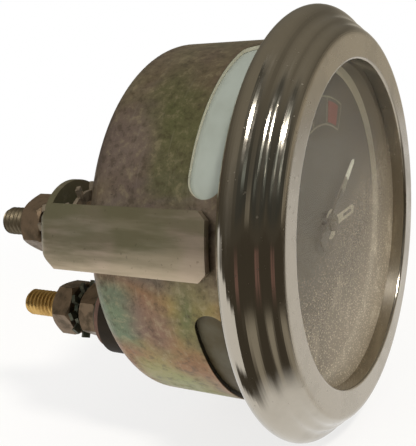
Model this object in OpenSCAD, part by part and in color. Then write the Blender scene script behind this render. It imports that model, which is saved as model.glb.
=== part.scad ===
// Panel temperature gauge for a 52 mm hole, with its U-shaped clamp and two insulated terminals.
// Millimetres. +Z is up with the dial upright, the dial faces -Y and the terminals point to +Y.
// The origin is on the gauge's axis, in the plane where the bezel's rear lip meets the panel.
// Every piece is drawn in the face frame and turned by facing() at the end: there x is to the
// right, y is up, z points out of the dial, and a place behind the panel has a negative z.

/* [Case] */
// Outside diameter of the steel can, which passes through the panel
case_d = 52; // [50:0.25:54]
// Sheet thickness of the can
case_wall = 0.6; // [0.5:0.05:0.7]
// From the panel plane to the can's flat back
case_depth = 21.1; // [20.5:0.1:24]
// Outside radius of the can's drawn rear corner
case_corner_r = 3.1; // [2.5:0.1:3.2]
// Number of light windows in the can's wall
window_count = 4; // [2:1:4]
// Width of a light window, along the axis
window_w = 4.8; // [3.8:0.1:5]
// From the panel plane to the front edge of the windows
window_set_back = 1; // [0.8:0.1:1.4]
// Angle of solid wall left between two windows
window_bridge = 31; // [24:1:40]

/* [Bezel] */
// How far the bezel's rear bead stands out past the can, all round
bezel_lap = 4.3; // [4:0.05:5]
// From the panel plane to the bezel's front ring
bezel_depth = 7.2; // [7:0.1:8.5]
// Sheet thickness of the bezel
bezel_sheet = 0.6; // [0.5:0.05:0.65]
// How far the rolled front ring stands in from the rear bead
ring_step = 2.9; // [2.8:0.05:3]
// Width of the front ring, from its outside to the clear opening
ring_w = 4.8; // [4.7:0.05:4.9]
// Profile radius of the rear bead
rear_bead_r = 2.15; // [2.05:0.05:2.2]
// Profile radius of the middle bead
mid_bead_r = 1.4; // [1.3:0.05:1.5]
// How far the middle bead stands in from the rear bead
mid_bead_step = 1.85; // [1.75:0.05:1.95]
// From the panel plane to the middle of the middle bead
mid_bead_at = 4.4; // [4.3:0.05:4.5]
// Inside radius of the grooves between the beads
groove_r = 1.5; // [1.4:0.05:1.6]
// Profile radius of the front ring's rolled edge
ring_edge_r = 1.65; // [1.55:0.05:1.75]

/* [Lens, light ring and dial] */
// Thickness of the lens
lens_t = 1.6; // [1.3:0.1:1.8]
// Thickness of the rubber seal behind the lens
seal_t = 0.4; // [0.3:0.05:0.5]
// Thickness of the black spacer's flange, between the seal and the light ring
spacer_t = 1; // [0.8:0.1:1.2]
// Thickness of the light ring's flange
light_flange_t = 0.8; // [0.6:0.1:1]
// How far the light ring reaches behind the panel plane
light_ring_reach = 6.6; // [6:0.1:8]
// Wall of the light ring's tube
light_ring_wall = 1; // [0.8:0.1:1.3]
// Thickness of the dial plate
dial_t = 0.6; // [0.4:0.05:0.7]
// Width of the pale rim that shows between the dial and the spacer
rim_w = 1.1; // [0.4:0.1:1.6]
// From the panel plane forwards to the front of that rim
rim_top = 1.2; // [1:0.1:1.4]
// Width of the light ring's ledge that the dial rests on
dial_rest = 1; // [0.6:0.1:1.4]
// From the panel plane forward to the ledge
ledge_front = 0.1; // [0:0.05:0.2]
// From the dial's edge in to the middle of each dial foot
dial_foot_inset = 4.1; // [3.5:0.1:5]
// Length of each dial foot
dial_foot_len = 4; // [3:0.25:5]

/* [Pointer] */
// Length of the pointer's blade, from its pivot to its tip
pointer_len = 12.7; // [11:0.1:13.5]
// Length of the pointer's tail
pointer_tail = 4.6; // [4:0.2:6]
// Thickness of the pointer's blade
pointer_t = 0.25; // [0.2:0.05:0.3]
// Clear height between the dial and the pointer's blade
pointer_clear = 0.7; // [0.5:0.05:0.9]
// Radius of the cap over the pointer's pivot
pointer_cap_r = 1.3; // [1.2:0.1:2.6]
// Height of the cap
pointer_cap_h = 0.7; // [0.7:0.1:1.2]
// Angle of the pointer at its hot stop, anticlockwise from the right
pointer_hot = 38; // [30:1:60]
// Sweep of the pointer from the hot stop to the cold stop
pointer_sweep = 108; // [80:1:116]
// Radius of the pointer's spindle
spindle_r = 0.5; // [0.4:0.05:0.6]

/* [Movement] */
// Gap between the can's back and the movement plate, where the terminal heads are
base_gap = 5.7; // [5.5:0.1:6]
// Thickness of the movement plate
base_t = 0.8; // [0.6:0.1:1]
// Gap between the movement plate and the light ring's bore
base_clear = 4.35; // [3.5:0.05:4.5]
// From the shield cup out to the middle of each movement screw
movement_screw_out = 1.5; // [1.4:0.1:2]
// Outside radius of the iron shield cup
shield_r = 11.5; // [11.2:0.1:12]
// Sheet thickness of the shield cup
shield_wall = 0.5; // [0.4:0.05:0.6]
// From the panel plane to the mouth of the shield cup
shield_set_back = 3.5; // [3.4:0.1:3.8]
// Thickness of each coil's winding
coil_t = 1.1; // [1:0.05:1.15]
// Width of each half of a coil, along the axis of its turns
coil_w = 3; // [2:0.1:3.2]
// Half width of the slit that the spindle passes through
coil_slit = 1; // [0.8:0.1:1.2]
// Outside radius of the bobbin
bobbin_r = 6.2; // [6:0.1:6.2]
// Wall of the bobbin round the magnet's chamber
bobbin_wall = 1.2; // [1:0.1:1.3]
// Radius of the magnet on the spindle
magnet_r = 4.4; // [4:0.1:4.6]
// Share of its chamber's height that the magnet fills
magnet_share = 0.667; // [0.5:0.01:0.75]

/* [Terminals] */
// From the can's side in to the middle of each terminal
terminal_inset = 7.35; // [7:0.05:8]
// Angle of each terminal below the horizontal centre line
terminal_angle = 40.4; // [38:0.2:44]
// How far the terminal studs stand out behind the can
terminal_len = 20.2; // [19:0.1:22]
// Radius of the black insulating bush
bush_r = 5.6; // [5:0.1:5.8]
// Thickness of the black insulating bush outside the can
bush_t = 3.2; // [2.6:0.1:3.4]
// Radius of the red fibre washer
fibre_r = 5; // [4.5:0.1:5.4]
// Thickness of the red fibre washer
fibre_t = 1.1; // [0.8:0.1:1.4]
// Thickness of the small plain washer
small_washer_t = 0.7; // [0.6:0.1:1]
// Space that the toothed lock washer takes between the two nuts
lock_t = 1.7; // [1.3:0.1:1.8]

/* [Screw threads] */
// Outside radius of the free M4 thread
thread_r = 1.95; // [1.9:0.01:1.96]
// Radius of the stud where its fixed pieces sit
shank_r = 1.75; // [1.7:0.01:1.78]
// Running clearance of a nut or washer round a stud
thread_clear = 0.05; // [0.03:0.01:0.08]
// Width of an M4 nut across its flats
nut_af = 7; // [6.6:0.1:7.2]
// Thickness of a full M4 nut
nut_t = 3.2; // [2.8:0.1:3.4]
// Thickness of the thin nut that holds a clamp stud
thin_nut_t = 2.2; // [1.8:0.1:2.4]

/* [Clamp] */
// Width of a clamp leg, as an angle round the axis
leg_angle = 17.7; // [15:0.1:20]
// Gap between the can and a clamp leg
leg_gap = 0.4; // [0.3:0.05:0.6]
// Thickness of the clamp's strip
clamp_t = 1; // [0.8:0.1:1.2]
// From the panel plane to the ends of the clamp's legs
leg_front = 2.2; // [2:0.1:3]
// Gap between the toothed washer and the clamp, as photographed
clamp_gap = 1.9; // [1.7:0.1:2.5]
// Inside radius of the clamp's bends
bend_r = 0.5; // [0.4:0.1:0.8]
// Side of the square cut that clips the corners beside each bend
bend_cut = 3.4; // [2:0.1:4]
// Turn of the clamp round the axis, from the dial's horizontal
clamp_turn = -3.8; // [-6:0.2:0]
// Turn of the clamp studs round the axis, a little more than the legs' own
stud_turn = -5.2; // [-6:0.2:-3]
// From the can's side in to the middle of each clamp stud
clamp_stud_inset = 5.8; // [5.8:0.1:7]
// Radius of the eye round each clamp stud's hole
eye_r = 6.2; // [5.5:0.1:6.5]
// How far the clamp studs stand out behind the can
clamp_stud_len = 17.4; // [16.5:0.1:20]
// Thickness of the washer between the thin nut and the clamp
tooth_t = 0.8; // [0.6:0.1:0.9]
// Radius of that washer over its teeth
tooth_washer_r = 6; // [4.6:0.1:6.1]
// Thickness of the split spring washer behind the clamp
spring_washer_t = 1.3; // [1:0.1:1.5]

/* [Hidden] */
$fn = 96;
eps = 0.01;

// Radii across the axis
case_r = case_d / 2;
case_in_r = case_r - case_wall;
bezel_r = case_r + bezel_lap;
ring_r = bezel_r - ring_step;
opening_r = ring_r - ring_w;
lip_bore_r = case_r + 0.3;
flange_r = bezel_r - rear_bead_r;
lens_r = ring_r - 1.4;
seal_bore_r = opening_r + 1.2;
light_ring_r = case_in_r - 0.05;
light_bore_r = light_ring_r - light_ring_wall;
spacer_bore_r = opening_r + 0.1;
skirt_r = light_bore_r - 0.1;
ring_flange_r = flange_r - 0.4;
dial_r = spacer_bore_r - rim_w;
dial_foot_at = dial_r - dial_foot_inset;
ledge_r = dial_r - dial_rest;

// Heights of the clamped stack, from the bezel's lip forwards
flange_z = bezel_sheet;
light_z = flange_z + case_wall;
spacer_z = light_z + light_flange_t;
seal_z = spacer_z + spacer_t;
lens_z = seal_z + seal_t;
lens_top = lens_z + lens_t;
dial_back = ledge_front;
dial_face = dial_back + dial_t;
ledge_t = 1;
blade_z = dial_face + pointer_clear;
cap_back = blade_z + pointer_t;

// Movement, as distances behind the panel plane
back_in = case_depth - case_wall;
base_back = back_in - base_gap;
base_front = base_back - base_t;
base_r = light_bore_r - base_clear;
shield_front = shield_set_back;
movement_screw_at = shield_r + movement_screw_out;
coil_b_back = base_front - 0.2;
coil_a_back = coil_b_back - coil_t - 0.1;
bobbin_back = coil_a_back - coil_t - 0.2;
coil_b_front = shield_front + 0.2;
coil_a_front = coil_b_front + coil_t + 0.1;
bobbin_front = coil_a_front + coil_t + 0.2;
bobbin_floor = 0.8;
cap_t = 1;
coil_in = bobbin_r + 0.2;
chamber_front = bobbin_front + cap_t;
chamber_back = bobbin_back - bobbin_floor;
magnet_t = magnet_share * (chamber_back - chamber_front);
magnet_back = (chamber_back + chamber_front + magnet_t) / 2;
bush_hole_r = 1.2;
bridge_t = 0.6;
bridge_w = 7;
bridge_front = shield_front - bridge_t;
arm_back = bridge_front - 0.4;
arm_t = 0.4;
arm_len = 5;
arm_half = 0.5;
pin_at = 4.2;
pin_r = 0.5;
arm_angle = 270 - pointer_sweep / 2;
pin_past = asin((arm_half + pin_r + 0.08) / pin_at);
pillar_r = 2.2;
dial_pillar_r = 1.5;
dial_foot_r = 0.95;
movement_screw_r = 1.2;
movement_screw_head_r = 2.3;

// Terminal stack, as distances behind the panel plane
terminal_at = case_r - terminal_inset;
terminal_x = terminal_at * cos(terminal_angle);
terminal_drop = terminal_at * sin(terminal_angle);
head_t = 2.5;
inner_insulator_t = 1;
inner_insulator_r = 4.6;
small_washer_r = 4.3;
lock_washer_r = 4.2;
bush_back = case_depth + bush_t;
fibre_back = bush_back + fibre_t;
small_washer_back = fibre_back + small_washer_t;
fixing_back = small_washer_back + nut_t;
lock_back = fixing_back + lock_t;
wire_nut_back = lock_back + nut_t;
terminal_tip = case_depth + terminal_len;
head_back = back_in - inner_insulator_t;
head_front = head_back - head_t;
bush_neck_r = 3.1;
nut_bore_r = thread_r + thread_clear;
washer_bore_r = nut_bore_r + 0.1;
link_t = 0.5;
link_half = 1;
resistor_half = 6;
resistor_r = 1.5;
resistor_y = -8;
resistor_back = head_front + resistor_r + 0.1;

// Clamp stack, as distances behind the panel plane
clamp_stud_at = case_r - clamp_stud_inset;
thin_nut_back = case_depth + thin_nut_t;
tooth_back = thin_nut_back + tooth_t;
web_front = tooth_back + clamp_gap;
clamp_reach = web_front + clamp_t;
spring_washer_r = 3.6;
spring_washer_back = clamp_reach + spring_washer_t;
clamp_lock_back = spring_washer_back + lock_t;
clamp_nut_back = clamp_lock_back + nut_t;
clamp_stud_tip = case_depth + clamp_stud_len;
rivet_t = 0.8;
rivet_r = 2.6;
leg_in_r = case_r + leg_gap;
leg_out_r = leg_in_r + clamp_t;
web_half = leg_in_r * sin(leg_angle / 2);
bend_x = leg_in_r - bend_r;
bend_back = web_front - bend_r;

// Colours
chrome = [0.78, 0.78, 0.78];
zinc = [0.52, 0.47, 0.35];
strap_zinc = [0.62, 0.57, 0.5];
white_plastic = [0.82, 0.85, 0.8];
dark_dial = [0.16, 0.16, 0.15];
soft_black = [0.07, 0.07, 0.07];
clear_glass = [0.8, 0.85, 0.85, 0.35];
bright_brass = [0.72, 0.55, 0.26];
copper = [0.6, 0.3, 0.16];
bronzed = [0.22, 0.18, 0.15];
steel = [0.5, 0.5, 0.5];
red_fibre = [0.4, 0.16, 0.12];
iron_grey = [0.3, 0.3, 0.31];

// Turns a piece from the face frame to the gauge's own frame
module facing() rotate([90, 0, 0]) children();

// A solid that lies between two distances behind the panel plane
module behind(front, back) translate([0, 0, -back]) linear_extrude(back - front) children();

// The places of the two terminals, or of one of them
module at_terminals(sides = [-1, 1])
    for (s = sides) translate([s * terminal_x, -terminal_drop, 0]) children();

// The places of the two clamp studs, or of one of them
module at_clamp_studs(sides = [-1, 1])
    rotate([0, 0, stud_turn]) for (s = sides) translate([s * clamp_stud_at, 0, 0]) children();

// Points along an arc of a profile
function arc(c, r, from, to, n = 8) =
    [for (i = [0:n]) c + r * [cos(from + (to - from) * i / n), sin(from + (to - from) * i / n)]];

// Direction from one point of a profile to another
function heading(from, to) = atan2(to.y - from.y, to.x - from.x);

// Middle of the circle of radius r that touches two circles of a profile from outside
function touching(a, a_r, b, b_r, r) =
    let (gap = norm(b - a), ahead = (b - a) / gap, out = [ahead.y, -ahead.x],
        along = (gap * gap + pow(a_r + r, 2) - pow(b_r + r, 2)) / (2 * gap))
    a + along * ahead + sqrt(pow(a_r + r, 2) - along * along) * out;

// A ring, disc or tube between two distances behind the panel plane
module ring(front, back, r, bore) difference() {
    behind(front, back) circle(r);
    behind(front - eps, back + eps) circle(bore);
}

// A hexagon nut with chamfered corners
module nut(front, back, bore) {
    corner_r = nut_af / 2 / cos(30);
    chamfer = 0.45;
    difference() {
        intersection() {
            translate([0, 0, -back]) cylinder(r = corner_r, h = back - front, $fn = 6);
            union() {
                translate([0, 0, -back]) cylinder(r1 = nut_af / 2, r2 = corner_r, h = chamfer);
                behind(front + chamfer, back - chamfer) circle(corner_r + 0.1);
                translate([0, 0, -front - chamfer])
                    cylinder(r1 = corner_r, r2 = nut_af / 2, h = chamfer);
            }
        }
        behind(front - eps, back + eps) circle(bore);
    }
}

// A stud's free end: full thread with a chamfered tip
module stud_end(front, tip) {
    tip_chamfer = 0.5;
    behind(front, tip - tip_chamfer) circle(thread_r);
    translate([0, 0, -tip])
        cylinder(r1 = thread_r - tip_chamfer, r2 = thread_r, h = tip_chamfer);
}

// A flat ring with twisted outside teeth
module toothed_washer(front, back, bore, r, teeth) {
    ring_t = min(0.6, back - front);
    mid = (front + back) / 2;
    tooth_w = 1.1;
    tooth_long = 1.3;
    twist = 24;
    ring(mid - ring_t / 2, mid + ring_t / 2, r - tooth_long + 0.2, bore);
    for (i = [0:teeth - 1]) rotate([0, 0, 360 / teeth * i])
        translate([r - tooth_long / 2, 0, -mid]) rotate([twist, 0, 0])
            cube([tooth_long, tooth_w, ring_t - 0.05], center = true);
}

// Half section of the can, with its flange at the front
corner = [case_r - case_corner_r, case_corner_r - case_depth];
case_section = concat([[0, -case_depth]],
    arc(corner, case_corner_r, -90, 0, 12),
    [[case_r, flange_z], [flange_r, flange_z], [flange_r, light_z], [case_in_r, light_z]],
    arc(corner, case_corner_r - case_wall, 0, -90, 12),
    [[0, -back_in]]);

// Section of a clamp leg with its bend and the start of the web
leg_section = concat([[leg_out_r, -leg_front]],
    arc([bend_x, -bend_back], bend_r + clamp_t, 0, -90, 8),
    [[clamp_stud_at, -clamp_reach], [clamp_stud_at, -web_front]],
    arc([bend_x, -bend_back], bend_r, -90, 0, 6),
    [[leg_in_r, -leg_front]]);

// Outline of the bezel's sheet: the outside from the lip to the opening, then the inside back
rear_bead = [bezel_r - rear_bead_r, rear_bead_r];
mid_bead = [bezel_r - mid_bead_step - mid_bead_r, mid_bead_at];
rolled = [ring_r - ring_edge_r, bezel_depth - ring_edge_r];
rear_groove = touching(rear_bead, rear_bead_r, mid_bead, mid_bead_r, groove_r);
front_groove = touching(mid_bead, mid_bead_r, rolled, ring_edge_r, groove_r);
edge_r = 0.4;
edge = [opening_r + edge_r, bezel_depth - edge_r];
bezel_outside = concat([[lip_bore_r, 0]],
    arc(rear_bead, rear_bead_r, -90, heading(rear_bead, rear_groove), 16),
    arc(rear_groove, groove_r, heading(rear_bead, rear_groove) + 180,
        heading(mid_bead, rear_groove) + 180, 5),
    arc(mid_bead, mid_bead_r, heading(mid_bead, rear_groove), heading(mid_bead, front_groove), 8),
    arc(front_groove, groove_r, heading(mid_bead, front_groove) + 180,
        heading(rolled, front_groove) + 180, 5),
    arc(rolled, ring_edge_r, heading(rolled, front_groove), 90, 8),
    arc(edge, edge_r, 90, 180, 6),
    [[opening_r, lens_top]]);
bezel_inside = concat([[opening_r + bezel_sheet, lens_top],
        [opening_r + bezel_sheet, bezel_depth - bezel_sheet]],
    arc(rolled, ring_edge_r - bezel_sheet, 90, heading(rolled, front_groove), 6),
    arc(mid_bead, mid_bead_r - bezel_sheet, heading(mid_bead, front_groove),
        heading(mid_bead, rear_groove), 4),
    arc(rear_bead, rear_bead_r - bezel_sheet, heading(rear_bead, rear_groove), -90, 10),
    [[lip_bore_r, bezel_sheet]]);

module bezel() color(chrome) facing()
    rotate_extrude() polygon(concat(bezel_outside, bezel_inside));

module lens() color(clear_glass) facing()
    behind(-lens_top, -lens_z) circle(lens_r);

module lens_seal() color(soft_black) facing()
    ring(-lens_z, -seal_z, lens_r, seal_bore_r);

// Dark wall from the lens down to the light ring's rim, which it holds down
module spacer_ring() color(soft_black) facing() rotate_extrude()
    polygon([[spacer_bore_r, rim_top], [spacer_bore_r, seal_z], [ring_flange_r, seal_z],
        [ring_flange_r, spacer_z], [skirt_r, spacer_z], [skirt_r, rim_top]]);

// White tube that spreads the light from the windows, with a ledge for the dial
module light_ring() color(white_plastic) facing() rotate_extrude()
    polygon([[ledge_r, ledge_front], [spacer_bore_r, ledge_front], [spacer_bore_r, rim_top],
        [light_bore_r, rim_top], [light_bore_r, spacer_z],
        [ring_flange_r, spacer_z], [ring_flange_r, light_z], [light_ring_r, light_z],
        [light_ring_r, -light_ring_reach], [light_bore_r, -light_ring_reach],
        [light_bore_r, ledge_front - ledge_t], [ledge_r, ledge_front - ledge_t]]);

// Dial with two feet that press into the long pillars
module dial_plate() color(dark_dial) facing() difference() {
    union() {
        behind(-dial_face, -dial_back) circle(dial_r);
        for (s = [-1, 1]) translate([s * dial_foot_at, 0, 0])
            behind(-dial_back - eps, dial_foot_len - dial_back) circle(dial_foot_r);
    }
    behind(-dial_face - eps, -dial_back + eps) circle(spindle_r + 1);
}

// One light window: a curved slot with round ends
module window(middle) {
    window_back = window_set_back + window_w;
    end_r = window_w / 2 - 0.02;
    end_turn = asin(end_r / case_r);
    span = 360 / window_count - window_bridge;
    rotate([0, 0, middle - span / 2 + end_turn + 0.5])
        rotate_extrude(angle = span - 2 * end_turn - 1)
            translate([case_in_r - 1, -window_back]) square([case_wall + 2, window_w]);
    for (a = [middle - span / 2 + end_turn, middle + span / 2 - end_turn])
        rotate([0, 0, a]) translate([case_in_r - 1, 0, -window_set_back - window_w / 2])
            rotate([0, 90, 0]) cylinder(r = end_r, h = case_wall + 2);
}

module case() color(zinc) facing() difference() {
    rotate_extrude() polygon(case_section);
    for (i = [0:window_count - 1]) window(180 + (i + 0.5) * 360 / window_count);
    at_terminals() behind(back_in - eps, case_depth + eps) circle(bush_neck_r + 0.1);
    at_clamp_studs() behind(back_in - eps, case_depth + eps) circle(shank_r + 0.1);
    for (s = [-1, 1]) translate([0, s * movement_screw_at, 0])
        behind(back_in - eps, case_depth + eps) circle(movement_screw_r + 0.1);
}

// Tapered blade with a round boss and a short tail
module pointer() color(bright_brass) facing() rotate([0, 0, pointer_hot]) difference() {
    union() {
        behind(-cap_back, -blade_z) polygon([[-pointer_tail, -1.1], [0, -0.75],
            [pointer_len - 0.6, -0.3], [pointer_len, 0], [pointer_len - 0.6, 0.3], [0, 0.75],
            [-pointer_tail, 1.1]]);
        behind(-cap_back, -blade_z) circle(pointer_cap_r - 0.1);
    }
    behind(-cap_back - eps, -blade_z + eps) circle(spindle_r + 0.02);
}

// Low domed cap that hides the end of the spindle
module pointer_cap() color(steel) facing() {
    cap_edge = pointer_cap_h * 0.6;
    difference() {
        union() {
            behind(-cap_back - cap_edge, -cap_back) circle(pointer_cap_r);
            translate([0, 0, cap_back + cap_edge])
                cylinder(r1 = pointer_cap_r, r2 = pointer_cap_r * 0.6, h = pointer_cap_h - cap_edge);
        }
        behind(-cap_back - 0.4, -cap_back + eps) circle(spindle_r + 0.02);
    }
}

module spindle() color(steel) facing()
    behind(-cap_back - 0.3, bobbin_back - bobbin_floor + 0.25) circle(spindle_r);

module rotor_magnet() color(iron_grey) facing()
    ring(magnet_back - magnet_t, magnet_back, magnet_r, spindle_r + 0.02);

// Arm on the spindle that meets the stop pins
module stop_arm() color(bright_brass) facing() rotate([0, 0, arm_angle]) difference() {
    behind(arm_back - arm_t, arm_back) union() {
        circle(1.2);
        translate([0, -arm_half]) square([arm_len, 2 * arm_half]);
    }
    behind(arm_back - arm_t - eps, arm_back + eps) circle(spindle_r + 0.02);
}

// Moulded cup that the coils are wound round, with the magnet's chamber in it
module bobbin() color(white_plastic) facing() difference() {
    behind(bobbin_front + cap_t, bobbin_back) circle(bobbin_r);
    behind(bobbin_front, bobbin_back - bobbin_floor) circle(bobbin_r - bobbin_wall);
    behind(bobbin_front, bobbin_back + eps) circle(bush_hole_r);
}

module bobbin_cap() color(white_plastic) facing()
    ring(bobbin_front, bobbin_front + cap_t, bobbin_r, bush_hole_r);

module top_bush() color(bright_brass) facing()
    ring(bobbin_front, bobbin_front + cap_t, bush_hole_r - 0.02, spindle_r + 0.05);

// Blind bush that carries the spindle's lower end
module bottom_bush() color(bright_brass) facing() difference() {
    behind(bobbin_back - bobbin_floor, bobbin_back) circle(bush_hole_r - 0.02);
    behind(bobbin_back - bobbin_floor - eps, bobbin_back - bobbin_floor + 0.35)
        circle(spindle_r + 0.05);
}

// Half of a coil: a flat rectangular ring of wire round the bobbin
module coil_half(front, back) {
    outer = coil_in + coil_t;
    translate([0, coil_slit, 0]) difference() {
        translate([-outer, 0, -back]) cube([2 * outer, coil_w, back - front]);
        translate([-coil_in, -eps, coil_t - back])
            cube([2 * coil_in, coil_w + 2 * eps, back - front - 2 * coil_t]);
    }
}

module coil_a() color(copper) facing() for (s = [0, 180]) rotate([0, 0, s])
    coil_half(coil_a_front, coil_a_back);

module coil_b() color(copper) facing() for (s = [90, 270]) rotate([0, 0, s])
    coil_half(coil_b_front, coil_b_back);

module shield_cup() color(iron_grey) facing() difference() {
    behind(shield_front, base_front) circle(shield_r);
    behind(shield_front - eps, base_front + eps) circle(shield_r - shield_wall);
}

// Bar across the mouth of the shield cup, under the stop arm
module movement_bridge() color(steel) facing() difference() {
    behind(bridge_front, shield_front) intersection() {
        circle(shield_r);
        square([2 * shield_r, bridge_w], center = true);
    }
    behind(bridge_front - eps, shield_front + eps) circle(spindle_r + 0.5);
}

module stop_pins() color(steel) facing()
    for (a = [arm_angle - pin_past, arm_angle + pointer_sweep + pin_past]) rotate([0, 0, a])
        translate([pin_at, 0, 0]) behind(arm_back - arm_t - 0.3, bridge_front) circle(pin_r);

module movement_plate() color(steel) facing() difference() {
    behind(base_front, base_back) circle(base_r);
    for (s = [-1, 1]) {
        translate([s * dial_foot_at, 0, 0]) behind(base_front - eps, base_back + eps) circle(1);
        translate([0, s * movement_screw_at, 0])
            behind(base_front - eps, base_back + eps) circle(movement_screw_r + 0.1);
    }
}

// Short posts that the movement plate stands on, tapped for the movement screws
module plate_pillars() color(bright_brass) facing() for (s = [-1, 1])
    translate([0, s * movement_screw_at, 0])
        ring(base_back, back_in, pillar_r, movement_screw_r + 0.03);

// Long posts from the movement plate to the back of the dial
module dial_pillars() color(bright_brass) facing() for (s = [-1, 1])
    translate([s * dial_foot_at, 0, 0]) difference() {
        union() {
            behind(-dial_back, base_front) circle(dial_pillar_r);
            behind(base_front - eps, base_back) circle(0.97);
        }
        behind(-dial_back - eps, dial_foot_len - dial_back + 0.2) circle(dial_foot_r + 0.03);
    }

// Screws through the can's back that hold the movement
module movement_screws() color(steel) facing() for (s = [-1, 1])
    translate([0, s * movement_screw_at, 0]) difference() {
        union() {
            behind(base_front - 0.4, case_depth + eps) circle(movement_screw_r);
            behind(case_depth, case_depth + 0.9) circle(movement_screw_head_r);
            translate([0, 0, -case_depth - 1.5])
                cylinder(r1 = movement_screw_head_r * 0.7, r2 = movement_screw_head_r, h = 0.6);
        }
        translate([0, 0, -case_depth - 1.5]) cube([6, 0.6, 1.4], center = true);
    }

module resistor() color(white_plastic) facing()
    translate([-resistor_half, resistor_y, -resistor_back]) rotate([0, 90, 0])
        cylinder(r = resistor_r, h = 2 * resistor_half);

// Flat links from the terminal heads to the ends of the resistor
module bus_links() color(bright_brass) facing() for (s = [0, 1]) mirror([s, 0, 0]) {
    run = [terminal_x - resistor_half - link_half, terminal_drop + resistor_y];
    length = norm(run);
    turn = atan2(run.y, run.x);
    difference() {
        behind(head_front - link_t, head_front) union() {
            translate([-terminal_x, -terminal_drop]) {
                circle(3);
                rotate(turn) translate([0, -link_half]) square([length, 2 * link_half]);
            }
            translate([-resistor_half - 1.6, resistor_y - 1.2]) square([1.6, 2.4]);
        }
    }
    translate([-resistor_half - 0.6, resistor_y - 1.2, -resistor_back - 0.8])
        cube([0.6, 2.4, resistor_back + 0.8 - head_front + eps]);
}

// Brass studs with their heads inside the can
module terminal_studs() color(bright_brass) facing() at_terminals() {
    translate([0, 0, -head_back]) cylinder(r = nut_af / 2 / cos(30), h = head_t, $fn = 6);
    behind(head_back - eps, wire_nut_back) circle(shank_r);
    stud_end(wire_nut_back, terminal_tip);
}

module inner_insulators() color(red_fibre) facing() at_terminals()
    ring(head_back, back_in, inner_insulator_r, shank_r + 0.1);

// Black bushes: a disc outside the can and a neck through its wall
module terminal_bushes() color(soft_black) facing() at_terminals() difference() {
    union() {
        behind(case_depth, bush_back) circle(bush_r);
        behind(back_in, case_depth + eps) circle(bush_neck_r);
    }
    behind(back_in - eps, bush_back + eps) circle(shank_r + 0.1);
}

module fibre_washers() color(red_fibre) facing() at_terminals()
    ring(bush_back, fibre_back, fibre_r, shank_r + 0.15);

module small_washers() color(steel) facing() at_terminals()
    ring(fibre_back, small_washer_back, small_washer_r, shank_r + 0.15);

module fixing_nuts() color(bronzed) facing() at_terminals() rotate([0, 0, 30])
    nut(small_washer_back, fixing_back, shank_r + 0.02);

module lock_washer(side) color(steel) facing() at_terminals([side])
    toothed_washer(fixing_back, lock_back, washer_bore_r, lock_washer_r, 10);

module wire_nut(side) color(bronzed) facing() at_terminals([side])
    nut(lock_back, wire_nut_back, nut_bore_r);

// A leg with clipped corners at its front end and beside its bend
end_cut = 1.5;
module clamp_leg() difference() {
    rotate([0, 0, -leg_angle / 2]) rotate_extrude(angle = leg_angle) polygon(leg_section);
    for (up = [-1, 1]) rotate([0, 0, up * leg_angle / 2]) {
        clipped_corner(leg_front, end_cut);
        clipped_corner(clamp_reach, bend_cut);
    }
}

module clipped_corner(back, side) translate([leg_out_r, 0, -back]) rotate([45, 0, 0])
    cube([6 * clamp_t, side, side], center = true);

// One strip bent into a U, with curved legs beside the can and an eye round each stud
module clamp_bracket() color(strap_zinc) facing() difference() {
    union() {
        rotate([0, 0, clamp_turn]) {
            for (side = [0, 180]) rotate([0, 0, side]) clamp_leg();
            behind(web_front, clamp_reach)
                square([2 * (bend_x - 1), 2 * web_half - 0.1], center = true);
        }
        behind(web_front, clamp_reach) intersection() {
            rotate(stud_turn) for (s = [-1, 1]) translate([s * clamp_stud_at, 0]) circle(eye_r);
            circle(bend_x - 0.05);
        }
    }
    at_clamp_studs() behind(web_front - eps, clamp_reach + eps) circle(washer_bore_r + 0.2);
}

// Steel studs riveted in the can's back
module clamp_studs() color(bronzed) facing() at_clamp_studs() {
    behind(back_in - rivet_t, back_in) circle(rivet_r);
    behind(back_in - eps, clamp_nut_back) circle(shank_r);
    stud_end(clamp_nut_back, clamp_stud_tip);
}

module clamp_thin_nuts() color(bronzed) facing() at_clamp_studs()
    nut(case_depth, thin_nut_back, shank_r + 0.02);

module clamp_tooth_washers() color(steel) facing() at_clamp_studs()
    toothed_washer(thin_nut_back, tooth_back, shank_r + 0.15, tooth_washer_r, 12);

// Spring washers with a split
module clamp_spring_washers() color(steel) facing() at_clamp_studs() difference() {
    ring(clamp_reach, spring_washer_back, spring_washer_r, washer_bore_r);
    translate([0, 3, -(clamp_reach + spring_washer_back) / 2]) rotate([0, 25, 0])
        cube([0.7, 3, 4], center = true);
}

module clamp_lock_washers() color(steel) facing() at_clamp_studs()
    toothed_washer(spring_washer_back, clamp_lock_back, washer_bore_r, lock_washer_r, 10);

module clamp_nut(side) color(bronzed) facing() at_clamp_studs([side]) rotate([0, 0, 30])
    nut(clamp_lock_back, clamp_nut_back, nut_bore_r);

bezel();
lens();
lens_seal();
spacer_ring();
light_ring();
dial_plate();
case();
pointer();
pointer_cap();
spindle();
rotor_magnet();
stop_arm();
bobbin();
bobbin_cap();
top_bush();
bottom_bush();
coil_a();
coil_b();
shield_cup();
movement_bridge();
stop_pins();
movement_plate();
plate_pillars();
dial_pillars();
movement_screws();
resistor();
bus_links();
terminal_studs();
inner_insulators();
terminal_bushes();
fibre_washers();
small_washers();
fixing_nuts();
lock_washer(-1);  // lock_washer_left
lock_washer(1);  // lock_washer_right
wire_nut(-1);  // wire_nut_left
wire_nut(1);  // wire_nut_right
clamp_bracket();
clamp_studs();
clamp_thin_nuts();
clamp_tooth_washers();
clamp_spring_washers();
clamp_lock_washers();
clamp_nut(-1);  // clamp_nut_left
clamp_nut(1);  // clamp_nut_right
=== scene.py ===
import math

import bmesh
import bpy
from mathutils import Matrix, Vector


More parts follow.
